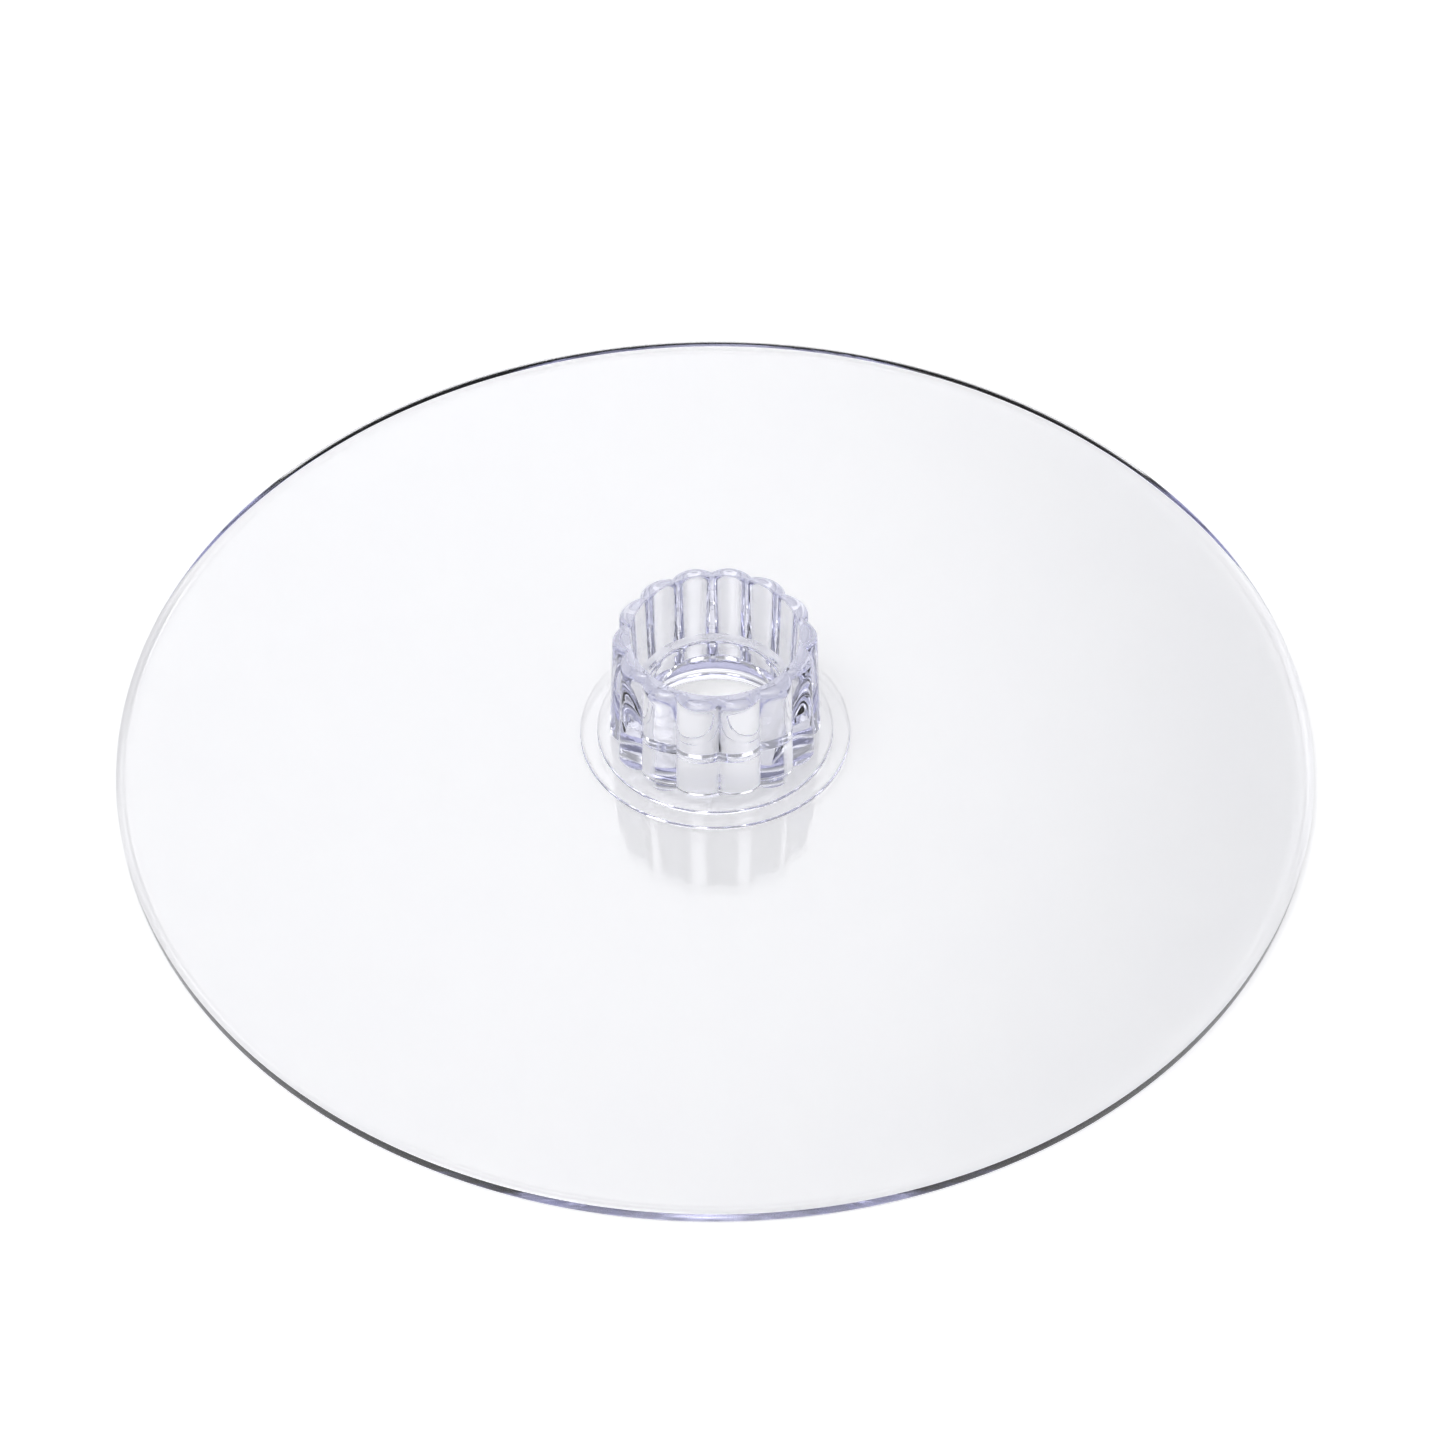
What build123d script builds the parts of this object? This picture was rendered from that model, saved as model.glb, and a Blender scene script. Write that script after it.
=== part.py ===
from build123d import *

from math import cos, radians
import os

# Clear round display plate with a fluted socket for a column at its centre.
# Millimetres, +Z up. The origin is the centre of the plate's underside, so the plate
# lies on the XY plane and the socket stands up from it along +Z.

# Plate: flat clear sheet with a hole through its centre and a low rounded lip at its rim
PLATE_RADIUS = 152.5
PLATE_THICKNESS = 3.0
PLATE_BOTTOM_ROUND = 0.4
PLATE_HOLE_RADIUS = 20.7
LIP_WIDTH = 2.4
LIP_HEIGHT = 0.4

# Flange: low washer between the plate and the socket
FLANGE_RADIUS = 34.6
FLANGE_THICKNESS = 0.8
FLANGE_EDGE_ROUND = 0.7

# Socket: round foot, fluted sides with a draft, crowned rim
FOOT_RADIUS = 30.2
FOOT_HEIGHT = 0.8
FOOT_EDGE_ROUND = 0.6
FLUTE_COUNT = 14
BASE_PEAK_RADIUS = 26.95
BASE_VALLEY_RADIUS = 24.4
TOP_PEAK_RADIUS = 25.6
TOP_VALLEY_RADIUS = 23.5
CROWN_PEAK_RADIUS = 22.9
CROWN_VALLEY_RADIUS = 21.75
SHOULDER_ABOVE_PLATE = 32.6
RIM_ABOVE_PLATE = 34.3

# Inside of the socket
BORE_TOP_RADIUS = 21.2
SEAT_RADIUS = 20.1
LOWER_BORE_RADIUS = 19.6
RIM_EDGE_BREAK = 0.2

# Stop ring: a ledge that a column comes to rest on, stepped down to a thinner hole
STOP_TOP_ABOVE_PLATE = 14.6
STOP_THICKNESS = 3.7
STEP_RADIUS = 17.2
STEP_DEPTH = 2.1
STEP_EDGE_ROUND = 0.8
STOP_HOLE_RADIUS = 14.3
STOP_HOLE_EDGE_BREAK = 0.3

# Heights above the underside of the plate
PLATE_TOP = PLATE_THICKNESS
FLANGE_TOP = PLATE_TOP + FLANGE_THICKNESS
FOOT_TOP = FLANGE_TOP + FOOT_HEIGHT
SHOULDER = PLATE_TOP + SHOULDER_ABOVE_PLATE
RIM = PLATE_TOP + RIM_ABOVE_PLATE
STOP_TOP = PLATE_TOP + STOP_TOP_ABOVE_PLATE
STOP_BOTTOM = STOP_TOP - STOP_THICKNESS

# Socket's scalloped outline at each height: peak and valley radius
FLUTE_OUTLINES = (
    (FOOT_TOP, BASE_PEAK_RADIUS, BASE_VALLEY_RADIUS),
    (SHOULDER, TOP_PEAK_RADIUS, TOP_VALLEY_RADIUS),
    (RIM, CROWN_PEAK_RADIUS, CROWN_VALLEY_RADIUS),
)


def flute_centre(peak_radius, valley_radius):
    """Distance from the axis to the centres of the arcs that make the flutes."""
    half_pitch = radians(180 / FLUTE_COUNT)
    return (peak_radius**2 - valley_radius**2) / (
        2 * (peak_radius - valley_radius * cos(half_pitch))
    )


os.makedirs("parts", exist_ok=True)

# Plate
with BuildPart() as plate:
    with BuildSketch(Plane.XZ):
        with BuildLine():
            lip = ThreePointArc(
                (PLATE_RADIUS - LIP_WIDTH, PLATE_TOP),
                (PLATE_RADIUS - LIP_WIDTH / 2, PLATE_TOP + LIP_HEIGHT),
                (PLATE_RADIUS, PLATE_TOP),
            )
            Polyline(
                lip @ 1,
                (PLATE_RADIUS, 0),
                (PLATE_HOLE_RADIUS, 0),
                (PLATE_HOLE_RADIUS, PLATE_TOP),
                lip @ 0,
            )
        make_face()
    revolve(axis=Axis.Z)
    fillet(plate.edges().group_by(Axis.Z)[0].sort_by(SortBy.RADIUS)[-1], PLATE_BOTTOM_ROUND)
plate.part.label = "plate"
export_step(plate.part, "parts/plate.step")

# Flange
with BuildPart() as foot_flange:
    with BuildSketch(Plane.XY.offset(PLATE_TOP)):
        Circle(FLANGE_RADIUS)
        Circle(LOWER_BORE_RADIUS, mode=Mode.SUBTRACT)
    extrude(amount=FLANGE_THICKNESS)
    fillet(foot_flange.edges().group_by(Axis.Z)[-1].sort_by(SortBy.RADIUS)[-1], FLANGE_EDGE_ROUND)
foot_flange.part.label = "foot_flange"
export_step(foot_flange.part, "parts/foot_flange.step")

# Socket
with BuildPart() as socket_collar:
    with BuildSketch(Plane.XY.offset(FLANGE_TOP)):
        Circle(FOOT_RADIUS)
    extrude(amount=FOOT_HEIGHT)
    fillet(socket_collar.edges().group_by(Axis.Z)[-1], FOOT_EDGE_ROUND)
    # Fluted sides narrow towards the shoulder, then slope up and in to the rim
    for height, peak_radius, valley_radius in FLUTE_OUTLINES:
        centre = flute_centre(peak_radius, valley_radius)
        with BuildSketch(Plane.XY.offset(height)):
            Circle(centre)
            with PolarLocations(centre, FLUTE_COUNT):
                Circle(peak_radius - centre)
    loft(ruled=True)
    # Straight bore, a shoulder that carries the stop ring, then a taper open to the rim
    with BuildSketch(Plane.XZ):
        with BuildLine():
            Polyline(
                (0, FLANGE_TOP),
                (LOWER_BORE_RADIUS, FLANGE_TOP),
                (LOWER_BORE_RADIUS, STOP_BOTTOM),
                (SEAT_RADIUS, STOP_BOTTOM),
                (SEAT_RADIUS, STOP_TOP),
                (BORE_TOP_RADIUS, RIM - RIM_EDGE_BREAK),
                (BORE_TOP_RADIUS + RIM_EDGE_BREAK, RIM),
                (0, RIM),
                close=True,
            )
        make_face()
    revolve(axis=Axis.Z, mode=Mode.SUBTRACT)
socket_collar.part.label = "socket_collar"
export_step(socket_collar.part, "parts/socket_collar.step")

# Stop ring
with BuildPart() as stop_ring:
    with BuildSketch(Plane.XY.offset(STOP_BOTTOM)):
        Circle(SEAT_RADIUS)
    extrude(amount=STOP_THICKNESS)
    with Locations(stop_ring.faces().sort_by(Axis.Z)[-1]):
        CounterBoreHole(STOP_HOLE_RADIUS, STEP_RADIUS, STEP_DEPTH)
    hole_edges, step_edges, seat_edges = (
        stop_ring.edges().filter_by(GeomType.CIRCLE).group_by(SortBy.RADIUS)
    )
    chamfer(hole_edges, STOP_HOLE_EDGE_BREAK)
    fillet(step_edges.sort_by(Axis.Z)[-1], STEP_EDGE_ROUND)
stop_ring.part.label = "stop_ring"
export_step(stop_ring.part, "parts/stop_ring.step")
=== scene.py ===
import math

import bmesh
import bpy
import numpy as np
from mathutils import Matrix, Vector


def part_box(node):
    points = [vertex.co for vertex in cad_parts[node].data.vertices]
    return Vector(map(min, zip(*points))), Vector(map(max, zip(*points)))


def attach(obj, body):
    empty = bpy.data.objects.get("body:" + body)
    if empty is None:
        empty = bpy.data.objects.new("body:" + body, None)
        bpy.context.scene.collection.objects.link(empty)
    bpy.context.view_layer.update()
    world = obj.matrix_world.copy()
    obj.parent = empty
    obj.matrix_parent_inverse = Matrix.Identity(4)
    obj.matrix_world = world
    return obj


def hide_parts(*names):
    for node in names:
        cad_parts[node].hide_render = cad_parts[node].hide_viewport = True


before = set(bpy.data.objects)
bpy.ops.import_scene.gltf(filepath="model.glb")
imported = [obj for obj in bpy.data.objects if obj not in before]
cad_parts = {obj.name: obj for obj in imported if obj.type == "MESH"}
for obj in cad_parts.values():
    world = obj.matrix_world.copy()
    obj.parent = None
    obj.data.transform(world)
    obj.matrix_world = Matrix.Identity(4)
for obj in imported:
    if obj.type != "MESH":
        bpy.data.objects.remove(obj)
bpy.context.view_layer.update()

MM = 0.001

# ---------------------------------------------------------------- sizes
# Outer sizes come from the frame, and the rest repeat the part's own.
FLANGE_LOW, FLANGE_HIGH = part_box("foot_flange")
COLLAR_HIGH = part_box("socket_collar")[1]
STOP_LOW, STOP_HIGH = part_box("stop_ring")

PLATE_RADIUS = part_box("plate")[1].x / MM
PLATE_TOP = FLANGE_LOW.z / MM
FLANGE_RADIUS = FLANGE_HIGH.x / MM
FLANGE_TOP = FLANGE_HIGH.z / MM
FOOT_RADIUS = COLLAR_HIGH.x / MM
RIM = COLLAR_HIGH.z / MM
SEAT_RADIUS = STOP_HIGH.x / MM
STOP_BOTTOM = STOP_LOW.z / MM
STOP_TOP = STOP_HIGH.z / MM

PLATE_HOLE_RADIUS = 20.7
PLATE_BOTTOM_ROUND = 0.4
PLATE_RING_RADII = (60.0, 110.0)  # rings that divide the plate's flat faces
RIM_EASE = 5.0  # the underside's shading eases into its rounded edge over this width
LIP_WIDTH = 2.4
LIP_HEIGHT = 0.4
FLANGE_EDGE_ROUND = 0.7
FOOT_TOP = FLANGE_TOP + 0.8
FOOT_EDGE_ROUND = 0.6
SHOULDER = PLATE_TOP + 32.6
LOWER_BORE_RADIUS = 19.6
BORE_TOP_RADIUS = 21.2
RIM_EDGE_BREAK = 0.2
STOP_HOLE_RADIUS = 14.3
STOP_EDGE_BREAK = 0.3
STEP_RADIUS = 17.2
STEP_HEIGHT = PLATE_TOP + 12.5
STEP_ROUND = 0.8
HOLE_EDGE_ROUND = 0.2

FLUTE_COUNT = 14
BASE_FLUTES = (26.95, 24.4)  # peak and valley radius
TOP_FLUTES = (25.6, 23.5)
CROWN_FLUTES = (22.9, 21.75)
CROWN_START = math.radians(30)  # turn of the crown's arc where it leaves the flutes
SIDE_RINGS = 16
CROWN_RINGS = 6
ARC_POINTS = 5
LIP_POINTS = 9

BOND_GAP = 0.01  # half the gap that keeps two bonded faces apart
FLAT_MARGIN = 0.04  # from a rounded edge to the ring that ends its shading
SEGMENTS_PER_FLUTE = 48
SEGMENTS = FLUTE_COUNT * SEGMENTS_PER_FLUTE
SHARP_ANGLE = math.radians(32)
ANGLES = np.arange(SEGMENTS) * 2 * math.pi / SEGMENTS


# ---------------------------------------------------------------- mesh code
def flutes(peak, valley):
    """Radius of the scalloped outline at every angle, with a peak on +X."""
    half = math.pi / FLUTE_COUNT
    centre = (peak**2 - valley**2) / (2 * (peak - valley * math.cos(half)))
    radius = peak - centre
    turn = (ANGLES + half) % (2 * half) - half
    return centre * np.cos(turn) + np.sqrt(radius**2 - (centre * np.sin(turn)) ** 2)


def between(low, high, share):
    """Peak and valley radius part of the way from one outline to another."""
    return tuple(a + (b - a) * share for a, b in zip(low, high))


def arc(radius, height, round_, start, stop, count=ARC_POINTS):
    """Points of an arc about (radius, height), from one angle to another in degrees."""
    turns = np.radians(np.linspace(start, stop, count))
    return [(radius + round_ * math.cos(t), height + round_ * math.sin(t)) for t in turns]


def rounded_edge(radius, height, round_, start):
    """A quarter arc about (radius, height) from an angle in degrees.

    A ring just beyond each end keeps the faces that it joins flat in their shading.
    """
    points = arc(radius, height, round_, start, start + 90)
    ends = []
    for (r, z), turn, side in ((points[0], start, -1), (points[-1], start + 90, 1)):
        step = side * FLAT_MARGIN
        turn = math.radians(turn)
        ends.append((r - step * math.sin(turn), z + step * math.cos(turn)))
    return [ends[0], *points, ends[1]]


def ringed_piece(name, rings):
    """A closed piece from a loop of rings round the axis.

    Each ring is (radius, or a radius for every angle; height; tag). The tag "bond" marks
    the faces from that ring to the next as joined to a neighbouring piece.
    """
    rows = [
        np.c_[radius * np.cos(ANGLES), radius * np.sin(ANGLES), np.full(SEGMENTS, height)]
        for radius, height, _ in rings
    ]
    points = np.vstack(rows) * MM
    count = len(rings)
    steps = np.arange(SEGMENTS)
    following = (steps + 1) % SEGMENTS
    faces = []
    for i in range(count):
        here, there = i * SEGMENTS, (i + 1) % count * SEGMENTS
        faces.append(np.c_[here + steps, here + following, there + following, there + steps])
    mesh = bpy.data.meshes.new(name)
    mesh.from_pydata(points.tolist(), [], np.vstack(faces).tolist())
    joined = np.repeat([float(tag == "bond") for _, _, tag in rings], SEGMENTS)
    mesh.attributes.new("bond", "FLOAT", "FACE").data.foreach_set("value", joined)
    shape = bmesh.new()
    shape.from_mesh(mesh)
    bmesh.ops.recalc_face_normals(shape, faces=shape.faces)
    shape.to_mesh(mesh)
    shape.free()
    mesh.shade_smooth()
    mesh.set_sharp_from_angle(angle=SHARP_ANGLE)
    piece = bpy.data.objects.new(name, mesh)
    bpy.context.scene.collection.objects.link(piece)
    return piece


def tagged(points, tag="open"):
    """Rings from points of (radius, height), all with one tag."""
    return [(radius, height, tag) for radius, height in points]


def lip_arc():
    """The low rounded lip round the plate, from its outer side inward."""
    half = LIP_WIDTH / 2
    radius = (half**2 + LIP_HEIGHT**2) / (2 * LIP_HEIGHT)
    spread = math.degrees(math.asin(half / radius))
    centre = PLATE_TOP + LIP_HEIGHT - radius
    return arc(PLATE_RADIUS - half, centre, radius, 90 - spread, 90 + spread, LIP_POINTS)


def plate_rings():
    low, top, hole = PLATE_BOTTOM_ROUND, PLATE_TOP, HOLE_EDGE_ROUND
    flat_rings = [*PLATE_RING_RADII, PLATE_RADIUS - RIM_EASE]
    return (
        tagged([(radius, 0.0) for radius in flat_rings])
        + tagged(arc(PLATE_RADIUS - low, low, low, -90, 0))
        + tagged(lip_arc())
        + tagged([(radius, top) for radius in reversed(PLATE_RING_RADII)])
        + tagged([(FLANGE_RADIUS, top)])
        + tagged([(FLANGE_RADIUS - BOND_GAP, top - BOND_GAP)], "bond")
        + tagged([(PLATE_HOLE_RADIUS + BOND_GAP, top - BOND_GAP)])
        + tagged([(PLATE_HOLE_RADIUS, top - 2 * BOND_GAP)])
        + tagged(rounded_edge(PLATE_HOLE_RADIUS + hole, hole, hole, 180))
    )


def flange_rings():
    low, top, edge = PLATE_TOP, FLANGE_TOP, FLANGE_EDGE_ROUND
    gap = BOND_GAP
    return (
        tagged([(PLATE_HOLE_RADIUS, low + gap)], "bond")
        + tagged([(FLANGE_RADIUS - gap, low + gap)])
        + tagged([(FLANGE_RADIUS, low + 2 * gap)])
        + tagged(rounded_edge(FLANGE_RADIUS - edge, top - edge, edge, 0))
        + tagged([(FOOT_RADIUS, top)])
        + tagged([(FOOT_RADIUS - gap, top - gap)], "bond")
        + tagged([(LOWER_BORE_RADIUS + gap, top - gap)])
        + tagged([(LOWER_BORE_RADIUS, top - 2 * gap)])
        + tagged([(LOWER_BORE_RADIUS, low + HOLE_EDGE_ROUND)])
        + tagged([(LOWER_BORE_RADIUS + HOLE_EDGE_ROUND, low + gap)])
    )


def collar_rings():
    low, gap, edge = FLANGE_TOP, BOND_GAP, FOOT_EDGE_ROUND
    rings = tagged([(LOWER_BORE_RADIUS + gap, low + gap)], "bond")
    rings += tagged([(FOOT_RADIUS - gap, low + gap)])
    rings += tagged([(FOOT_RADIUS, low + 2 * gap)])
    rings += tagged(rounded_edge(FOOT_RADIUS - edge, FOOT_TOP - edge, edge, 0))
    for share in np.linspace(0, 1, SIDE_RINGS):
        outline = flutes(*between(BASE_FLUTES, TOP_FLUTES, share))
        rings += tagged([(outline, FOOT_TOP + (SHOULDER - FOOT_TOP) * share)])
    # The crown follows an arc, from the flutes' tops in to the rim
    start_cos, start_sin = math.cos(CROWN_START), math.sin(CROWN_START)
    for turn in np.linspace(CROWN_START, math.pi / 2, CROWN_RINGS + 1)[1:]:
        share = 1 - math.cos(turn) / start_cos
        rise = (math.sin(turn) - start_sin) / (1 - start_sin)
        outline = flutes(*between(TOP_FLUTES, CROWN_FLUTES, share))
        rings += tagged([(outline, SHOULDER + (RIM - SHOULDER) * rise)])
    rings += tagged([(BORE_TOP_RADIUS + RIM_EDGE_BREAK, RIM)])
    rings += tagged([(BORE_TOP_RADIUS, RIM - RIM_EDGE_BREAK)])
    rings += tagged([(SEAT_RADIUS, STOP_TOP)])
    rings += tagged([(SEAT_RADIUS + gap, STOP_TOP - gap)], "bond")
    rings += tagged([(SEAT_RADIUS + gap, STOP_BOTTOM - gap)], "bond")
    rings += tagged([(LOWER_BORE_RADIUS, STOP_BOTTOM - gap)])
    rings += tagged([(LOWER_BORE_RADIUS, low + 2 * gap)])
    return rings


def stop_rings():
    low, top, gap = STOP_BOTTOM, STOP_TOP, BOND_GAP
    hole, edge = STOP_HOLE_RADIUS, STOP_EDGE_BREAK
    outer = SEAT_RADIUS - gap
    rings = tagged([(hole + edge, low), (LOWER_BORE_RADIUS - gap, low)])
    rings += tagged([(LOWER_BORE_RADIUS, low + gap), (outer, low + gap)], "bond")
    rings += tagged([(outer, top - gap)])
    rings += tagged([(outer - gap, top)])
    rings += tagged(rounded_edge(STEP_RADIUS + STEP_ROUND, top - STEP_ROUND, STEP_ROUND, 90))
    rings += tagged([(STEP_RADIUS, STEP_HEIGHT)])
    rings += tagged([(hole + edge, STEP_HEIGHT), (hole, STEP_HEIGHT - edge), (hole, low + edge)])
    return rings


# ---------------------------------------------------------------- materials
PLASTIC_IOR = 1.5
GLOSS_PATCHES = (0.35, 0.75)  # noise values that the roughness runs between
ROUGHNESS = (0.0, 0.02)
TONES = ((0.985, 0.985, 0.995, 1.0), (1.0, 1.0, 1.0, 1.0))
PATCH_DETAIL = 3.0
WAVE_DETAIL = 1.0
WAVE_STRENGTH = 0.3
WAVE_DEPTH = 0.00002  # metres

PLATE_TINT = (0.38, 0.38, 0.70, 1.0)
PLATE_DENSITY = 6.0
PLATE_NOISE = 60
SOCKET_TINT = (0.30, 0.32, 0.86, 1.0)
SOCKET_DENSITY = 6.5
SOCKET_NOISE = 200

FLOOR_ALBEDO = (0.9, 0.9, 0.9, 1.0)
FLOOR_ROUGHNESS = 0.9
FLOOR_GLOW = 0.40


def clear_plastic(name, tint, density, noise_scale):
    """Clear moulded plastic, tinted by its depth, with faint waves in its surface."""
    material = bpy.data.materials.new(name)
    material.use_nodes = True
    tree = material.node_tree
    link = tree.links.new
    shader = tree.nodes["Principled BSDF"]
    shader.inputs["Transmission Weight"].default_value = 1.0
    shader.inputs["IOR"].default_value = PLASTIC_IOR

    # Faint patches of gloss and tone, and a faint wave left by the mould
    place = tree.nodes.new("ShaderNodeTexCoord")
    patches = tree.nodes.new("ShaderNodeTexNoise")
    patches.inputs["Scale"].default_value = noise_scale
    patches.inputs["Detail"].default_value = PATCH_DETAIL
    link(place.outputs["Object"], patches.inputs["Vector"])
    gloss = tree.nodes.new("ShaderNodeMapRange")
    gloss.inputs["From Min"].default_value = GLOSS_PATCHES[0]
    gloss.inputs["From Max"].default_value = GLOSS_PATCHES[1]
    gloss.inputs["To Min"].default_value = ROUGHNESS[0]
    gloss.inputs["To Max"].default_value = ROUGHNESS[1]
    link(patches.outputs["Fac"], gloss.inputs["Value"])
    link(gloss.outputs["Result"], shader.inputs["Roughness"])
    tones = tree.nodes.new("ShaderNodeValToRGB")
    for stop, tone in zip(tones.color_ramp.elements, TONES):
        stop.color = tone
    link(patches.outputs["Fac"], tones.inputs["Fac"])
    link(tones.outputs["Color"], shader.inputs["Base Color"])
    wave = tree.nodes.new("ShaderNodeTexNoise")
    wave.inputs["Scale"].default_value = 2 * noise_scale
    wave.inputs["Detail"].default_value = WAVE_DETAIL
    link(place.outputs["Object"], wave.inputs["Vector"])
    relief = tree.nodes.new("ShaderNodeBump")
    relief.inputs["Strength"].default_value = WAVE_STRENGTH
    relief.inputs["Distance"].default_value = WAVE_DEPTH
    link(wave.outputs["Fac"], relief.inputs["Height"])
    link(relief.outputs["Normal"], shader.inputs["Normal"])

    # Bonded faces don't show, as the plastic is one body there
    bond = tree.nodes.new("ShaderNodeAttribute")
    bond.attribute_name = "bond"
    shows = tree.nodes.new("ShaderNodeMath")
    shows.operation = "SUBTRACT"
    shows.inputs[0].default_value = 1.0
    link(bond.outputs["Fac"], shows.inputs[1])
    link(shows.outputs[0], shader.inputs["Alpha"])

    depth = tree.nodes.new("ShaderNodeVolumeAbsorption")
    depth.inputs["Color"].default_value = tint
    depth.inputs["Density"].default_value = density
    link(depth.outputs[0], tree.nodes["Material Output"].inputs["Volume"])
    return material


def pale_floor():
    material = bpy.data.materials.new("studio_floor")
    material.use_nodes = True
    tree = material.node_tree
    shader = tree.nodes["Principled BSDF"]
    shader.inputs["Base Color"].default_value = FLOOR_ALBEDO
    shader.inputs["Roughness"].default_value = FLOOR_ROUGHNESS
    shader.inputs["Emission Color"].default_value = (1.0, 1.0, 1.0, 1.0)
    shader.inputs["Emission Strength"].default_value = FLOOR_GLOW
    return material


# ---------------------------------------------------------------- pieces
plate_plastic = clear_plastic("clear_plate_plastic", PLATE_TINT, PLATE_DENSITY, PLATE_NOISE)
socket_plastic = clear_plastic(
    "clear_socket_plastic", SOCKET_TINT, SOCKET_DENSITY, SOCKET_NOISE
)
PIECES = (
    ("plate_sheet", plate_rings, "plate", plate_plastic, "clear_plate"),
    ("flange_ring", flange_rings, "foot_flange", socket_plastic, "clear_socket"),
    ("fluted_socket", collar_rings, "socket_collar", socket_plastic, "clear_socket"),
    ("column_stop", stop_rings, "stop_ring", socket_plastic, "clear_socket"),
)
for piece_name, make_rings, node, plastic, slot in PIECES:
    made = ringed_piece(piece_name, make_rings())
    made.data.materials.append(plastic)
    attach(made, "root")
    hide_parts(node)

# ---------------------------------------------------------------- floor and light
FLOOR_DROP = 0.0003  # metres from the plate's underside down to the floor
FLOOR_REACH = 3.0  # metres from the axis to each side
floor_mesh = bpy.data.meshes.new("studio_floor")
floor_mesh.from_pydata(
    [
        (x * FLOOR_REACH, y * FLOOR_REACH, -FLOOR_DROP)
        for x, y in ((-1, -1), (1, -1), (1, 1), (-1, 1))
    ],
    [],
    [(0, 1, 2, 3)],
)
floor = bpy.data.objects.new("studio_floor", floor_mesh)
floor.data.materials.append(pale_floor())
bpy.context.scene.collection.objects.link(floor)

# Sky: brightness against the sine of the angle above the horizon
SKY_TINT = (0.95, 0.96, 1.0)
SKY_STOPS = ((0.0, 0.9), (0.35, 0.6), (0.6, 0.42), (0.85, 0.38), (1.0, 0.5))
# Softboxes: direction, inner and outer half-angle in degrees, brightness
SOFTBOXES = (
    ((-0.30, -0.25, 0.92), 5, 20, 4.0),
    ((-0.035, 0.69, 0.72), 0, 13, 1.75),
    ((0.0, 0.97, 0.26), 5, 30, 0.5),
    ((0.0, -0.70, 0.70), 5, 30, 0.35),
)


def studio_sky():
    world = bpy.data.worlds.new("soft_sky")
    world.use_nodes = True
    tree = world.node_tree
    link = tree.links.new
    place = tree.nodes.new("ShaderNodeTexCoord")
    parts = tree.nodes.new("ShaderNodeSeparateXYZ")
    ramp = tree.nodes.new("ShaderNodeValToRGB")
    link(place.outputs["Generated"], parts.inputs[0])
    link(parts.outputs["Z"], ramp.inputs[0])
    ramp.color_ramp.elements.remove(ramp.color_ramp.elements[-1])
    for i, (at, grey) in enumerate(SKY_STOPS):
        stop = ramp.color_ramp.elements[0] if i == 0 else ramp.color_ramp.elements.new(at)
        stop.position = at
        stop.color = (*(grey * part for part in SKY_TINT), 1.0)
    total = ramp.outputs[0]
    for direction, inner, outer, brightness in SOFTBOXES:
        facing = tree.nodes.new("ShaderNodeVectorMath")
        facing.operation = "DOT_PRODUCT"
        facing.inputs[1].default_value = Vector(direction).normalized()
        link(place.outputs["Generated"], facing.inputs[0])
        box = tree.nodes.new("ShaderNodeMapRange")
        box.interpolation_type = "SMOOTHSTEP"
        box.inputs["From Min"].default_value = math.cos(math.radians(outer))
        box.inputs["From Max"].default_value = math.cos(math.radians(inner))
        box.inputs["To Max"].default_value = brightness
        link(facing.outputs["Value"], box.inputs["Value"])
        both = tree.nodes.new("ShaderNodeVectorMath")
        both.operation = "ADD"
        link(total, both.inputs[0])
        link(box.outputs[0], both.inputs[1])
        total = both.outputs[0]
    link(total, tree.nodes["Background"].inputs["Color"])
    return world


bpy.context.scene.world = studio_sky()

# ---------------------------------------------------------------- camera
CAMERA_TURN = math.radians(-2.2)
CAMERA_ELEVATION = math.radians(46.315)
CAMERA_DISTANCE = 0.9452  # metres
CAMERA_AIM = (0.00187, 0.00230)  # metres from the axis, in axes turned with the camera
SENSOR_WIDTH = 36.0
LENS = 91.8
CLIP_START = 0.01  # metres
LIGHT_BOUNCES = 32
CLEAR_BOUNCES = 64
camera_data = bpy.data.cameras.new("camera")
camera_data.sensor_width = SENSOR_WIDTH
camera_data.lens = LENS
camera_data.clip_start = CLIP_START
camera = bpy.data.objects.new("camera", camera_data)
bpy.context.scene.collection.objects.link(camera)
back = CAMERA_AIM[1] - CAMERA_DISTANCE * math.cos(CAMERA_ELEVATION)
cos_turn, sin_turn = math.cos(CAMERA_TURN), math.sin(CAMERA_TURN)
camera.location = (
    CAMERA_AIM[0] * cos_turn - back * sin_turn,
    CAMERA_AIM[0] * sin_turn + back * cos_turn,
    PLATE_TOP * MM + CAMERA_DISTANCE * math.sin(CAMERA_ELEVATION),
)
camera.rotation_euler = (math.pi / 2 - CAMERA_ELEVATION, 0.0, CAMERA_TURN)
scene = bpy.context.scene
scene.camera = camera

# Clear plastic needs long light paths, and the standard view keeps white white
scene.cycles.max_bounces = LIGHT_BOUNCES
scene.cycles.transmission_bounces = LIGHT_BOUNCES
scene.cycles.glossy_bounces = LIGHT_BOUNCES
scene.cycles.transparent_max_bounces = CLEAR_BOUNCES
scene.view_settings.view_transform = "Standard"
